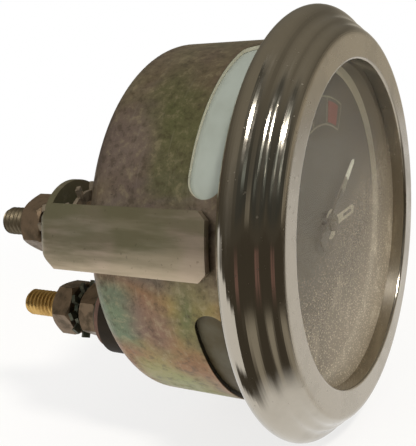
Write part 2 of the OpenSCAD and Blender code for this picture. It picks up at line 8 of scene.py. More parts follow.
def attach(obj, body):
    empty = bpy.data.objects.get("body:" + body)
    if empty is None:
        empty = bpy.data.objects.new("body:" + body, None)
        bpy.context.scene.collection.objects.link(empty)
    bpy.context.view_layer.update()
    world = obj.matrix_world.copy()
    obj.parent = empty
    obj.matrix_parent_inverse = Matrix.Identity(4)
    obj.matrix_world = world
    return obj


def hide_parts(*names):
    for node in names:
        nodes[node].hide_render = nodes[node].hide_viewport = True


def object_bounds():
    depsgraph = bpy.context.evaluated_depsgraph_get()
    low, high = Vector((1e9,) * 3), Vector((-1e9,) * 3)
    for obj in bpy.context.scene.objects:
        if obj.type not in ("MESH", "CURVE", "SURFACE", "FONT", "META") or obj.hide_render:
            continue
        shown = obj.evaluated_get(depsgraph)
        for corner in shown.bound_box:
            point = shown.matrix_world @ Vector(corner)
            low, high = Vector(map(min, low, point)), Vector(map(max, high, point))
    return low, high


# Looks for the panel temperature gauge. Metres, dial towards -Y, terminals towards +Y.
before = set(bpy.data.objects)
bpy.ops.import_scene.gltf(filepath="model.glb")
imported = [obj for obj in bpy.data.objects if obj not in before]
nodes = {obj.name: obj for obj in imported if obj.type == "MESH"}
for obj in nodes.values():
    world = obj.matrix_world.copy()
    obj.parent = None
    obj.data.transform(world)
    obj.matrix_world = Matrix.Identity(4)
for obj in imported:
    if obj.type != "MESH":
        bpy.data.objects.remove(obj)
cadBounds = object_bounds()
mm = 0.001
print("frame loaded:", len(nodes), "nodes")


def rgb(red, green, blue):
    # a colour as a paint program gives it, 0 to 255
    def linear(c):
        c /= 255
        return c / 12.92 if c <= 0.04045 else ((c + 0.055) / 1.055) ** 2.4
    return (linear(red), linear(green), linear(blue), 1)


class Wire:
    # one output socket; + - * and ** on it add Math nodes
    def __init__(self, sheet, socket):
        self.sheet, self.socket = sheet, socket

    def maths(self, operation, a, b):
        return self.sheet.add("Math", {"operation": operation}, {0: a, 1: b})

    def __add__(self, other):
        return self.maths("ADD", self, other)

    def __radd__(self, other):
        return self.maths("ADD", other, self)

    def __sub__(self, other):
        return self.maths("SUBTRACT", self, other)

    def __rsub__(self, other):
        return self.maths("SUBTRACT", other, self)

    def __mul__(self, other):
        return self.maths("MULTIPLY", self, other)

    def __rmul__(self, other):
        return self.maths("MULTIPLY", other, self)

    def __pow__(self, other):
        return self.maths("POWER", self, other)

    def __rpow__(self, other):
        return self.maths("POWER", other, self)


class Sheet:
    # a node tree with short ways to add what this gauge's finishes use
    def __init__(self, tree):
        self.tree = tree

    def add(self, kind, settings=None, inputs=None, out=0):
        node = self.tree.nodes.new("ShaderNode" + kind)
        for key, value in (settings or {}).items():
            if key == "stops":
                ramp = node.color_ramp
                while len(ramp.elements) < len(value):
                    ramp.elements.new(0.5)
                for element, (place, colour) in zip(ramp.elements, value):
                    element.position, element.color = place, colour
            else:
                setattr(node, key, value)
        for key, value in (inputs or {}).items():
            self.feed(node.inputs[key], value)
        return Wire(self, node.outputs[out])

    def feed(self, socket, value):
        if isinstance(value, Wire):
            self.tree.links.new(value.socket, socket)
        else:
            socket.default_value = value

    def mix(self, a, b, share):
        return self.add("Mix", {"data_type": "RGBA"}, {0: share, 6: a, 7: b}, 2)

    def mixShaders(self, share, a, b):
        return self.add("MixShader", None, {0: share, 1: a, 2: b})

    def step(self, value, low, high):
        # eases from 0 to 1 while the value goes from low to high
        return self.add("MapRange", {"interpolation_type": "SMOOTHSTEP"},
                        {0: value, 1: low, 2: high})

    def scaled(self, vector, by):
        return self.add("VectorMath", {"operation": "MULTIPLY"}, {0: vector, 1: by})

    def rays(self, *kinds):
        # 1 for these kinds of ray, 0 for the others
        flags = [self.add("LightPath", out="Is " + kind + " Ray") for kind in kinds]
        total = flags[0]
        for flag in flags[1:]:
            total = total + flag
        return self.add("Clamp", None, {0: total})


class Finish(Sheet):
    # a material on one Principled shader, with places in millimetres
    def __init__(self, name, colour=(0.5, 0.5, 0.5, 1), metal=0.0, rough=0.5):
        self.material = bpy.data.materials.new(name)
        self.material.use_nodes = True
        super().__init__(self.material.node_tree)
        self.shader = self.tree.nodes["Principled BSDF"]
        self.basic = Wire(self, self.shader.outputs[0])
        self.set({"Base Color": colour, "Metallic": metal, "Roughness": rough})
        self.spot = self.scaled(self.add("TexCoord", out="Object"), (1 / mm, 1 / mm, 1 / mm))
        self.x, self.y, self.z = (self.add("SeparateXYZ", inputs={0: self.spot}, out=i)
                                  for i in range(3))
        # distance from the gauge's axis
        self.radius = (self.x * self.x + self.z * self.z) ** 0.5

    def set(self, values):
        for key, value in values.items():
            self.feed(self.shader.inputs[key], value)

    def noise(self, size, detail=3.0, rough=0.5, stretch=(1, 1, 1), bend=0.0):
        # size is the width of a blotch in millimetres
        return self.add("TexNoise", {"noise_dimensions": "3D"},
                        {"Vector": self.scaled(self.spot, [s / size for s in stretch]),
                         "Scale": 1.0, "Detail": detail, "Roughness": rough, "Distortion": bend})

    def blots(self, low, high, **pattern):
        # 1 where the noise is above high, 0 where it is below low
        return self.step(self.noise(**pattern), low, high)

    def bump(self, height, strength, depth, under=None):
        # depth is in millimetres
        inputs = {"Height": height, "Strength": strength, "Distance": depth * mm}
        if under is not None:
            inputs["Normal"] = under
        return self.add("Bump", None, inputs)

    def bearing(self):
        # angle in plan from -X towards -Y, in degrees
        turn = self.add("Math", {"operation": "ARCTAN2"}, {0: 0 - self.y, 1: 0 - self.x})
        return turn * (180 / math.pi)

    def surface(self, shader):
        self.tree.links.new(shader.socket, self.tree.nodes["Material Output"].inputs["Surface"])

    def on(self, *names):
        for name in names:
            materials = nodes[name].data.materials
            materials.clear()
            materials.append(self.material)


# metals
# the front face, from faceAt on along y, is duller than the beads behind it
chromeLook = {
    "colour": rgb(178, 171, 158), "face": rgb(168, 159, 143), "tarnish": rgb(150, 143, 129),
    "rough": 0.10, "hazeRough": 0.12, "hairRough": 0.05, "pitRough": 0.2, "faceRough": 0.14,
    "hazeTint": 0.35, "pitTint": 0.5, "faceAt": (-6.9, -7.15),
    "haze": {"size": 9, "detail": 4, "rough": 0.6, "low": 0.42, "high": 0.72},
    "pits": {"size": 0.5, "detail": 2, "low": 0.70, "high": 0.76},
    "hairs": {"size": 0.35, "detail": 2, "stretch": (0.06, 1.4, 0.06), "low": 0.55, "high": 0.75},
    "waves": {"size": 14, "detail": 1, "rough": 0.4},
    "waveBump": (0.25, 0.6), "pitBump": (0.2, 0.01)}


def makeChrome(look):
    f = Finish("bezel_chrome", metal=1.0)
    haze, pits, hairs = (f.blots(**look[pattern]) for pattern in ("haze", "pits", "hairs"))
    face = f.step(f.y, *look["faceAt"])
    f.set({"Base Color": f.mix(f.mix(look["colour"], look["face"], face), look["tarnish"],
                               haze * look["hazeTint"] + pits * look["pitTint"]),
           "Roughness": (look["rough"] + haze * look["hazeRough"] + hairs * look["hairRough"]
                         + pits * look["pitRough"] + face * look["faceRough"]),
           "Normal": f.bump(f.noise(**look["waves"]), *look["waveBump"],
                            f.bump(pits, *look["pitBump"]))})
    return f


zincLook = {
    "olive": rgb(122, 112, 86), "brown": rgb(118, 103, 84), "violet": rgb(116, 102, 94),
    "green": rgb(100, 102, 68), "gold": rgb(142, 124, 76), "rose": rgb(144, 100, 70),
    "teal": rgb(88, 116, 98), "mauve": rgb(120, 92, 84), "lime": rgb(144, 148, 86),
    "smudge": rgb(136, 128, 112), "grimeAndShade": rgb(60, 52, 42), "shade": rgb(72, 64, 48),
    "fleck": rgb(158, 146, 116), "speck": rgb(48, 42, 34), "bareAndGlint": rgb(232, 226, 208),
    "dull": rgb(58, 53, 40), "metal": 0.8, "rough": 0.36,
    "smudgeTint": 0.3, "blotchTint": 0.75, "grimeAndShadeTint": 0.5, "shadeTint": 0.5, "fleckTint": 0.4,
    "speckTint": 0.5, "scratchTint": 0.04,
    "smudgeRough": 0.16, "grimeRough": 0.2, "driftRough": 0.2, "cutRough": 0.1,
    # tones by how far the film has drifted, on the upper and the lower side; the lower side's
    # brighter, more golden tones are partly a painted reflection of the pale floor
    "upper": ((0.30, "green"), (0.42, "olive"), (0.52, "brown"), (0.62, "violet"), (0.72, "olive")),
    "lower": ((0.26, "teal"), (0.36, "green"), (0.45, "gold"), (0.56, "rose"), (0.64, "gold"),
              (0.74, "mauve")),
    "lowAt": (-1, -9), "lowWave": 10,
    # blotches that the photo shows on the left side: y, z, size, tone
    "blotches": ((17, -9, 2.5, "teal"), (12, -10, 2, "mauve"), (8, -17, 3, "rose"),
                 (10, -22, 2.5, "lime"), (14, -20, 2.5, "lime"), (7, 12, 4, "green"),
                 (12, 18, 2.5, "green"), (16, 13, 3.5, "violet")),
    "blotchSquash": 0.6, "blotchWave": 6, "blotchEdge": (2.5, -1),
    "drift": {"size": 15, "rough": 0.55, "stretch": (1, 0.8, 1), "bend": 0.8},
    "patch": {"size": 7, "detail": 4, "rough": 0.6, "stretch": (1, 0.6, 1), "bend": 0.4},
    "smudged": (0.45, 0.7), "shaded": (0.50, 0.64), "flecked": (0.48, 0.36),
    "grimy": {"size": 2.2, "detail": 5, "rough": 0.65, "low": 0.5, "high": 0.8},
    "mottle": {"size": 1.3, "detail": 5, "rough": 0.75},
    "specks": {"size": 0.6, "rough": 0.6, "low": 0.66, "high": 0.74},
    "scratches": {"size": 0.5, "detail": 2, "stretch": (0.08, 1.3, 0.08), "low": 0.6, "high": 0.72},
    "dents": {"size": 6, "detail": 2}, "dentBump": (0.2, 0.3), "grimeBump": (0.25, 0.02),
    "scratchHeight": 0.15,
    # the windows' cut edges: bare metal with a painted highlight above, and painted shade below
    "cutRadius": (25.93, 25.85), "cutDepth": (8, 6), "cutShadeAt": (-3, -5)}


def makeZinc(look):
    # yellow passivated zinc: thin colour films that drift over the can, worn and smudged
    f = Finish("can_zinc", metal=look["metal"])
    drift, patch, mottle = (f.noise(**look[pattern]) for pattern in ("drift", "patch", "mottle"))
    upper, lower = (f.add("ValToRGB", {"stops": [(at, look[tone]) for at, tone in look[side]]},
                          {0: drift}) for side in ("upper", "lower"))
    # partly painted reflection: the lower side takes the brighter golden tones
    low = f.step(f.z + (patch - 0.5) * look["lowWave"], *look["lowAt"])
    smudge = f.step(patch, *look["smudged"])
    colour = f.mix(f.mix(upper, lower, low), look["smudge"], smudge * look["smudgeTint"])
    outer, inner = look["blotchEdge"]
    for y, z, size, tone in look["blotches"]:
        away = ((f.y - y) * (f.y - y) + (f.z - z) * (f.z - z) * look["blotchSquash"]) ** 0.5
        away = away + (patch - 0.5) * look["blotchWave"]
        share = f.step(away, size + outer, size + inner) * look["blotchTint"]
        colour = f.mix(colour, look[tone], share)
    grimeAndShade, specks, scratches = (f.blots(**look[pattern])
                                for pattern in ("grimy", "specks", "scratches"))
    colour = f.mix(colour, look["grimeAndShade"], grimeAndShade * look["grimeAndShadeTint"])
    colour = f.mix(colour, look["shade"], f.step(mottle, *look["shaded"]) * look["shadeTint"])
    colour = f.mix(colour, look["fleck"], f.step(mottle, *look["flecked"]) * look["fleckTint"])
    colour = f.mix(colour, look["speck"], specks * look["speckTint"])
    # painted light: the cut edges are pale with a painted highlight above and dark with painted
    # shade below
    cut = f.step(f.radius, *look["cutRadius"]) * f.step(f.y, *look["cutDepth"])
    colour = f.mix(colour, f.mix(look["bareAndGlint"], look["dull"], f.step(f.z, *look["cutShadeAt"])), cut)
    f.set({"Base Color": f.mix(colour, look["bareAndGlint"], scratches * look["scratchTint"]),
           "Roughness": (look["rough"] + smudge * look["smudgeRough"] + grimeAndShade * look["grimeRough"]
                         + (drift - 0.5) * look["driftRough"] - cut * look["cutRough"]),
           "Normal": f.bump(grimeAndShade + scratches * look["scratchHeight"], *look["grimeBump"],
                            f.bump(f.noise(**look["dents"]), *look["dentBump"]))})
    return f


strapLook = {
    "colour": rgb(134, 126, 104), "low": rgb(236, 216, 190), "stain": rgb(112, 110, 90),
    "blush": rgb(152, 138, 122), "streak": rgb(92, 90, 62), "speck": rgb(78, 72, 56),
    "metal": 0.8, "rough": 0.36, "stainRough": 0.14, "fineRough": 0.1,
    "stainTint": 0.7, "streakTint": 0.55, "lowTint": 0.85, "speckTint": 0.4,
    "cloud": {"size": 8, "detail": 4, "rough": 0.6, "stretch": (1, 0.5, 1), "bend": 0.3},
    "stained": (0.42, 0.68),
    "fine": {"size": 1.2, "detail": 4, "rough": 0.6},
    "specks": {"size": 0.7, "rough": 0.6, "low": 0.64, "high": 0.72},
    "blushes": {"size": 11, "detail": 2, "low": 0.45, "high": 0.6},
    "streaks": {"size": 2.2, "detail": 4, "rough": 0.6, "stretch": (1, 0.12, 1)},
    # streaks gather at the top, darkening it with painted shade, and the lower half is paled with a
    # painted reflection of the floor
    "streaked": (0.46, 0.66), "paintedShadeRise": 0.03, "lowAt": (2, -5), "lowWave": 5,
    "fineBump": (0.2, 0.02), "cloudBump": (0.2, 0.3)}


def makeStrap(look):
    f = Finish("clamp_zinc", metal=look["metal"])
    cloud, fine, streaks = (f.noise(**look[pattern]) for pattern in ("cloud", "fine", "streaks"))
    stain = f.step(cloud, *look["stained"])
    # painted shade: the streaks grow towards the top; painted reflection: the lower half turns pale
    streaked = f.step(streaks + f.z * look["paintedShadeRise"], *look["streaked"])
    low = f.step(f.z + (streaks - 0.5) * look["lowWave"], *look["lowAt"])
    colour = f.mix(look["colour"], look["blush"], f.blots(**look["blushes"]))
    for tone, share in (("stain", stain), ("streak", streaked), ("low", low),
                        ("speck", f.blots(**look["specks"]))):
        colour = f.mix(colour, look[tone], share * look[tone + "Tint"])
    f.set({"Base Color": colour,
           "Roughness": look["rough"] + stain * look["stainRough"] + fine * look["fineRough"],
           "Normal": f.bump(fine, *look["fineBump"], f.bump(cloud, *look["cloudBump"]))})
    return f


# small turned and pressed parts: blotchy stains and a fine grain
metalWear = {"stains": {"detail": 4, "rough": 0.6, "low": 0.4, "high": 0.68},
             "grain": {"size": 0.5, "rough": 0.6}, "stainRough": 0.2, "grainRough": 0.15,
             "bump": (0.25, 0.01)}
metalLooks = {
    "nut_bronze": {"colour": rgb(118, 100, 80), "patina": rgb(62, 54, 40),
        "rough": 0.40, "metal": 0.8, "blotch": 1.6, "share": 0.7,
        "on": ("fixing_nuts", "wire_nut_left", "wire_nut_right", "clamp_thin_nuts",
               "clamp_nut_left", "clamp_nut_right")},
    "washer_steel": {"colour": rgb(84, 84, 70), "patina": rgb(50, 62, 52),
        "rough": 0.42, "metal": 0.8, "blotch": 1.4, "share": 0.8,
        "on": ("small_washers", "lock_washer_left", "lock_washer_right",
               "clamp_spring_washers")},
    "tooth_steel": {"colour": rgb(150, 138, 120), "patina": rgb(72, 62, 50),
        "rough": 0.36, "metal": 0.8, "blotch": 1.1, "share": 0.8,
        "on": ("clamp_tooth_washers", "clamp_lock_washers")},
    "stud_bronze": {"colour": rgb(104, 94, 76), "patina": rgb(62, 58, 44),
        "rough": 0.42, "metal": 0.85, "blotch": 1.2, "share": 0.6,
        "on": ("clamp_studs",)},
    "stud_brass": {"colour": rgb(206, 170, 106), "patina": rgb(158, 122, 66),
        "rough": 0.3, "metal": 1.0, "blotch": 1.5, "share": 0.5,
        "on": ("terminal_studs", "bus_links", "plate_pillars", "dial_pillars", "top_bush",
               "bottom_bush", "stop_arm")},
    "movement_steel": {"colour": rgb(150, 148, 142), "patina": rgb(112, 108, 100),
        "rough": 0.35, "metal": 0.95, "blotch": 3, "share": 0.5,
        "on": ("spindle", "movement_bridge", "stop_pins", "movement_plate", "movement_screws")},
    "shield_iron": {"colour": rgb(96, 94, 92), "patina": rgb(66, 62, 58),
        "rough": 0.5, "metal": 0.8, "blotch": 3, "share": 0.5,
        "on": ("shield_cup", "rotor_magnet")}}


def makeMetal(name, look):
    f = Finish(name, metal=look["metal"])
    stains = f.blots(size=look["blotch"], **metalWear["stains"])
    grain = f.noise(**metalWear["grain"])
    f.set({"Base Color": f.mix(look["colour"], look["patina"], stains * look["share"]),
           "Roughness": (look["rough"] + stains * metalWear["stainRough"]
                         + (grain - 0.5) * metalWear["grainRough"]),
           "Normal": f.bump(grain, *metalWear["bump"])})
    return f


coilLook = {"wire": rgb(176, 92, 52), "gap": rgb(70, 30, 16), "size": 0.22, "wander": 0.6,
            "metal": 0.7, "rough": 0.3, "gapRough": 0.2, "along": 0.3, "gapEdge": (0.1, 0.6),
            "bump": (0.8, 0.08)}


def makeCoil(look):
    # enamelled wire, seen as fine ridges along the winding
    f = Finish("coil_copper", metal=look["metal"])
    across = 1 / look["size"] / 3.2  # the texture makes about 3.2 waves in a unit
    ridges = f.add("TexWave", {"wave_type": "BANDS", "bands_direction": "Y"},
                   {"Vector": f.scaled(f.spot, (look["along"], across, look["along"])),
                    "Scale": 1.0, "Distortion": look["wander"], "Detail": 1.0}, 1)
    f.set({"Base Color": f.mix(look["gap"], look["wire"], f.step(ridges, *look["gapEdge"])),
           "Roughness": look["rough"] + (1 - ridges) * look["gapRough"],
           "Normal": f.bump(ridges, *look["bump"])})
    return f


# plastics, paint and ink; what a look leaves out comes from plasticWear
plasticWear = {"blotch": 6.0, "share": 0.5, "grain": 0.4, "dent": 0.01, "shine": 0.5,
               "clouds": {"rough": 0.55, "low": 0.35, "high": 0.7}, "grains": {"rough": 0.6},
               "grainRough": 0.2, "bump": 0.2}
plasticLooks = {
    "cap_dark": {"colour": rgb(78, 72, 61), "shade": rgb(64, 59, 50), "rough": 0.6, "blotch": 1,
                 "shine": 0.3, "on": ("pointer_cap",)},
    "bobbin_white": {"colour": rgb(176, 176, 164), "shade": rgb(150, 148, 134), "rough": 0.5,
                     "on": ("bobbin", "bobbin_cap")},
    "spacer_brown": {"colour": rgb(106, 98, 82), "shade": rgb(88, 81, 66), "rough": 0.6,
                     "on": ("spacer_ring",)},
    "seal_black": {"colour": rgb(34, 31, 27), "shade": rgb(22, 21, 19), "rough": 0.6,
                   "on": ("lens_seal",)},
    "bush_black": {"colour": rgb(42, 35, 26), "shade": rgb(28, 24, 18), "rough": 0.6, "blotch": 2.0,
                   "shine": 0.1, "on": ("terminal_bushes",)},
    "fibre_red": {"colour": rgb(100, 70, 56), "shade": rgb(74, 54, 42), "rough": 0.7, "blotch": 1.2,
                  "share": 0.6, "grain": 0.3, "dent": 0.03,
                  "on": ("fibre_washers", "inner_insulators")},
    "resistor_body": {"colour": rgb(190, 182, 158), "shade": rgb(160, 150, 126), "rough": 0.6,
                      "on": ("resistor",)},
    "dial_ink": {"colour": rgb(142, 135, 118), "shade": rgb(112, 106, 92), "rough": 0.6,
                 "blotch": 0.9, "share": 0.8},
    "dial_pale_ink": {"colour": rgb(194, 186, 166), "shade": rgb(168, 160, 141), "rough": 0.6,
                      "blotch": 0.9, "share": 0.8},
    "dial_red": {"colour": rgb(140, 58, 54), "shade": rgb(116, 52, 46), "rough": 0.6, "blotch": 1.5,
                 "share": 0.6}}


def makePlastic(name, look):
    look = {**plasticWear, **look}
    f = Finish(name, rough=look["rough"])
    clouds = f.blots(size=look["blotch"], **look["clouds"])
    grain = f.noise(look["grain"], **look["grains"])
    f.base = f.mix(look["colour"], look["shade"], clouds * look["share"])
    f.set({"Base Color": f.base, "Roughness": look["rough"] + (grain - 0.5) * look["grainRough"],
           "Specular IOR Level": look["shine"],
           "Normal": f.bump(grain, look["bump"], look["dent"])})
    return f


# the light ring: a grey darker than clean white plastic, partly dirt and partly painted shade;
# creamy on the ledge round the dial, partly painted light passed on through the translucent
# plastic; browned behind the lower left window with painted shade
ringLook = {"colour": rgb(132, 138, 130), "shade": rgb(114, 118, 108), "ledge": rgb(208, 200, 180),
            "stain": rgb(72, 62, 38), "rough": 0.5, "shine": 0.25, "on": ("light_ring",),
            "ledgeAt": (0.6, 0.0),
            "paintedShadeX": (-4, -8), "paintedShadeY": (0.2, 0.6), "paintedShadeZ": (-4, -8),
            "stainTint": 0.92, "grimeAndShadeTint": 0.5, "grimeAndShade": {"size": 4, "rough": 0.6}}


def makeRingWhite(name, look):
    f = makePlastic(name, look)
    # painted shade: the ring behind the lower left window is browned where it lies in shadow
    stained = (f.step(f.z, *look["paintedShadeZ"]) * f.step(f.x, *look["paintedShadeX"])
               * f.step(f.y, *look["paintedShadeY"]))
    # partly painted light: the ledge round the dial is creamy and paler than the rest
    base = f.mix(f.base, look["ledge"], f.step(f.y, *look["ledgeAt"]))
    grimeAndShade = f.noise(**look["grimeAndShade"])
    share = stained * (look["stainTint"] + (grimeAndShade - 0.5) * look["grimeAndShadeTint"])
    f.set({"Base Color": f.mix(base, look["stain"], share)})
    return f


dialLook = {"paint": rgb(62, 57, 48), "fleck": rgb(128, 120, 104), "cloud": rgb(74, 68, 57),
            "rough": 0.55, "fleckTint": 0.35, "cloudTint": 0.4, "flecked": (0.62, 0.72),
            "grain": {"size": 0.28, "detail": 2}, "clouds": {"size": 7}, "bump": (0.6, 0.03)}


def makeDialPaint(look):
    # matt dark paint with a fine grain; its pale flecks are partly painted glints of the textured
    # paint
    f = Finish("dial_paint", rough=look["rough"])
    grain = f.noise(**look["grain"])
    flecks, clouds = f.step(grain, *look["flecked"]), f.noise(**look["clouds"])
    # partly painted glints: pale flecks where the grain is high
    colour = f.mix(look["paint"], look["fleck"], flecks * look["fleckTint"])
    f.set({"Base Color": f.mix(colour, look["cloud"], clouds * look["cloudTint"]),
           "Normal": f.bump(grain, *look["bump"])})
    return f


# white outer half, a thin grey neck and a dark root; distances from the axis, aim in degrees
pointerLook = {"tip": rgb(232, 229, 212), "neck": rgb(128, 121, 105), "dark": rgb(66, 61, 52),
               "whiteFrom": 8.6, "whiteSoft": 0.1, "whiteWave": 0.4,
               "greyFrom": 5.6, "greySoft": 0.8, "aim": 38, "tailAt": (-0.1, 0.1),
               "worn": {"size": 0.8, "rough": 0.6}, "bump": (0.15, 0.01)}


def makePointerPaint(look):
    f = Finish("pointer_paint")
    worn = f.noise(**look["worn"])
    grey, white, soft = look["greyFrom"], look["whiteFrom"], look["whiteSoft"]
    colour = f.mix(look["dark"], look["neck"], f.step(f.radius, grey, grey + look["greySoft"]))
    colour = f.mix(colour, look["tip"], f.step(f.radius + (worn - 0.5) * look["whiteWave"],
                                               white - soft, white + soft))
    aim = math.radians(look["aim"])
    ahead = f.step(f.x * math.cos(aim) + f.z * math.sin(aim), *look["tailAt"])
    f.set({"Base Color": f.mix(look["dark"], colour, ahead), "Normal": f.bump(worn, *look["bump"])})
    return f


lensLook = {
    "dust": rgb(132, 119, 99), "speck": rgb(186, 174, 150), "clear": 0.26, "dusty": 0.82,
    "shine": 0.11, "ior": 1.5, "glossRough": 0.05, "tint": (0.97, 0.98, 0.97, 1),
    "shadow": (0.93, 0.94, 0.93, 1), "frontAt": (-4.6, -4.9),
    # the film thickens downwards and a little to the right
    "right": 0.4, "down": 0.9, "dustyAt": (-12, 20), "dustyWave": 14, "cloud": {"size": 9},
    "lowAt": (6, -12), "highSpecks": 0.35, "lowSpecks": 0.65,
    "specks": {"size": 0.18, "detail": 0, "stretch": (0.5, 1, 1), "low": 0.62, "high": 0.72},
    "weave": {"size": 0.25, "detail": 1, "stretch": (0.6, 1, 1)},
    "smears": {"size": 5, "detail": 4, "rough": 0.65, "stretch": (1, 1, 0.6), "bend": 0.5,
               "low": 0.50, "high": 0.7},
    "film": {"weave": 0.3, "specks": 0.25, "smears": 0.1},
    "pale": {"specks": 0.65, "smears": 0.45, "corner": 0.14},
    "slant": 1.05, "faceOn": 0.26}


def makeLensGlass(look):
    # real glass that bends the view of the dial, under a film of dust with specks and smears
    f = Finish("lens_glass")
    corner = f.step(f.x * look["right"] - f.z * look["down"]
                    + (f.noise(**look["cloud"]) - 0.5) * look["dustyWave"], *look["dustyAt"])
    lower = f.step(f.z, *look["lowAt"])
    specks = f.blots(**look["specks"]) * (look["highSpecks"] + lower * look["lowSpecks"])
    smears = f.blots(**look["smears"]) * corner
    film, pale = look["film"], look["pale"]
    dust = (look["clear"] + corner * (look["dusty"] - look["clear"])
            + (f.noise(**look["weave"]) - 0.5) * film["weave"]
            + specks * film["specks"] + smears * film["smears"])
    paler = specks * pale["specks"] + smears * pale["smears"] + corner * pale["corner"]
    f.set({"Base Color": f.mix(look["dust"], look["speck"], paler)})
    bent = f.add("BsdfRefraction", None,
                 {"Color": look["tint"], "IOR": look["ior"], "Roughness": 0.0})
    gloss = f.add("BsdfGlossy", None, {"Color": (1, 1, 1, 1), "Roughness": look["glossRough"]})
    shine = f.add("Fresnel", None, {"IOR": look["ior"]}) * look["shine"]
    clear = f.add("BsdfTransparent", None, {"Color": look["shadow"]})
    body = f.mixShaders(f.rays("Shadow", "Diffuse"), f.mixShaders(shine, bent, gloss), clear)
    # a film looks thicker where one looks along it
    slant = f.add("LayerWeight", None, {"Blend": 0.5}, "Facing") * look["slant"] + look["faceOn"]
    f.surface(f.mixShaders(dust * f.step(f.y, *look["frontAt"]) * slant, body, f.basic))
    return f


print("making finishes")
makeChrome(chromeLook).on("bezel")
makeZinc(zincLook).on("case")
makeStrap(strapLook).on("clamp_bracket")
makeCoil(coilLook).on("coil_a", "coil_b")
makeRingWhite("light_ring_white", ringLook).on(*ringLook["on"])
makeDialPaint(dialLook).on("dial_plate")
makePointerPaint(pointerLook).on("pointer")
makeLensGlass(lensLook).on("lens")
finishes = {}
for make, looks in ((makeMetal, metalLooks), (makePlastic, plasticLooks)):
    for name, look in looks.items():
        finishes[name] = make(name, look)
        finishes[name].on(*look.get("on", ()))

# nuts that have been gripped have soft corners
wornEdges = {"width": 0.16, "segments": 2, "sharperThan": 25,
             "nodes": metalLooks["nut_bronze"]["on"]}
for name in wornEdges["nodes"]:
    bevel = nodes[name].modifiers.new("worn", "BEVEL")
    bevel.width, bevel.segments = wornEdges["width"] * mm, wornEdges["segments"]
    bevel.limit_method, bevel.angle_limit = "ANGLE", math.radians(wornEdges["sharperThan"])


def makeObject(name, bm, finish):
    mesh = bpy.data.meshes.new(name)
    bm.to_mesh(mesh)
    bm.free()
    mesh.materials.append(finish.material)
    thing = bpy.data.objects.new(name, mesh)
    bpy.context.scene.collection.objects.link(thing)
    return thing


# threaded studs: places as (x, z), head and thread as spans along y
terminalLook = {"places": ((-14.2025, -12.0873), (14.2025, -12.0873)), "head": (17.0, 19.5),
                "headRadius": 4.04, "headSides": 6, "thread": (29.2, 41.3), "shank": 1.75}
clampStudLook = {"places": ((-20.1169, 1.8308), (20.1169, -1.8308)), "head": (19.7, 20.5),
                 "headRadius": 2.6, "headSides": 40, "thread": (24.1, 38.5), "shank": 1.75}
# ridge is one pitch of the thread's profile, from 0 at the root to 1 at the crest
threadLook = {"major": 1.94, "minor": 1.62, "pitch": 0.7, "chamfer": 0.5, "sides": 40,
              "ridge": (0.0, 0.15, 0.85, 1.0, 1.0, 0.6, 0.1, 0.0)}
studLook = {"headChamfer": 0.25, "headLap": 0.1, "threadLap": 0.2, "shankSides": 40, "weld": 0.002,
            "sharperThan": 50}


def around(place, radius, y, turn):
    # right-handed: the turn goes from z towards x while y grows
    x, z = place
    return ((x + radius * math.sin(turn)) * mm, y * mm, (z + radius * math.cos(turn)) * mm)


def addTube(bm, places, rings, sides):
    # a closed turned shape at each place, from (y, radius) rings
    turns = [2 * math.pi * i / sides for i in range(sides)]
    for x, z in places:
        loops = [[bm.verts.new(((x + radius * math.cos(a)) * mm, y * mm,
                                (z + radius * math.sin(a)) * mm))
                  for a in turns] for y, radius in rings]
        for low, high in zip(loops, loops[1:]):
            for i in range(sides):
                bm.faces.new((low[i], low[(i + 1) % sides], high[(i + 1) % sides], high[i]))
        bm.faces.new(loops[0])
        bm.faces.new(loops[-1])


def addThread(bm, place, span, look):
    # rows of the grid climb with the helix, so every ridge is crisp
    start, end = span
    ridge, sides, pitch = look["ridge"], look["sides"], look["pitch"]
    steps = len(ridge)
    laps = int((end - start) / pitch) + 2
    turns = [2 * math.pi * i / sides for i in range(sides)]
    tip = look["major"] - look["chamfer"]
    rows = []
    for k in range(laps * steps + steps + 1):
        row = []
        for i, turn in enumerate(turns):
            y = min(max(start - pitch + pitch * (k / steps + i / sides), start), end)
            radius = look["minor"] + (look["major"] - look["minor"]) * ridge[k % steps]
            radius = min(radius, tip + max(0.0, end - y))
            row.append(bm.verts.new(around(place, radius, y, turn)))
        rows.append(row)
    for k in range(len(rows) - 1 - steps):
        for i in range(sides - 1):
            bm.faces.new((rows[k][i], rows[k][i + 1], rows[k + 1][i + 1], rows[k + 1][i]))
        bm.faces.new((rows[k][-1], rows[k + steps][0], rows[k + steps + 1][0], rows[k + 1][-1]))
    # the flat end
    bm.faces.new([bm.verts.new(around(place, tip, end, turn)) for turn in turns])


def makeStuds(name, look, replaced, finish):
    bm = bmesh.new()
    front, back = look["head"]
    chamfer, radius = studLook["headChamfer"], look["headRadius"]
    head = ((front, radius - chamfer), (front + chamfer, radius), (back, radius))
    shank = ((back - studLook["headLap"], look["shank"]),
             (look["thread"][0] + studLook["threadLap"], look["shank"]))
    addTube(bm, look["places"], head, look["headSides"])
    addTube(bm, look["places"], shank, studLook["shankSides"])
    for place in look["places"]:
        addThread(bm, place, look["thread"], threadLook)
    bmesh.ops.remove_doubles(bm, verts=bm.verts, dist=studLook["weld"] * mm)
    bmesh.ops.recalc_face_normals(bm, faces=bm.faces)
    studs = makeObject(name, bm, finish)
    studs.data.shade_smooth()
    split = studs.modifiers.new("edges", "EDGE_SPLIT")
    split.split_angle = math.radians(studLook["sharperThan"])
    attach(studs, "gauge")
    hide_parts(replaced)


makeStuds("terminal_threads", terminalLook, "terminal_studs", finishes["stud_brass"])
makeStuds("clamp_threads", clampStudLook, "clamp_studs", finishes["stud_bronze"])
print("studs threaded")

# prints on the dial, on the face that lies 0.7 mm in front of the panel plane
printLook = {"face": -0.7, "thick": 0.03, "line": 0.26}
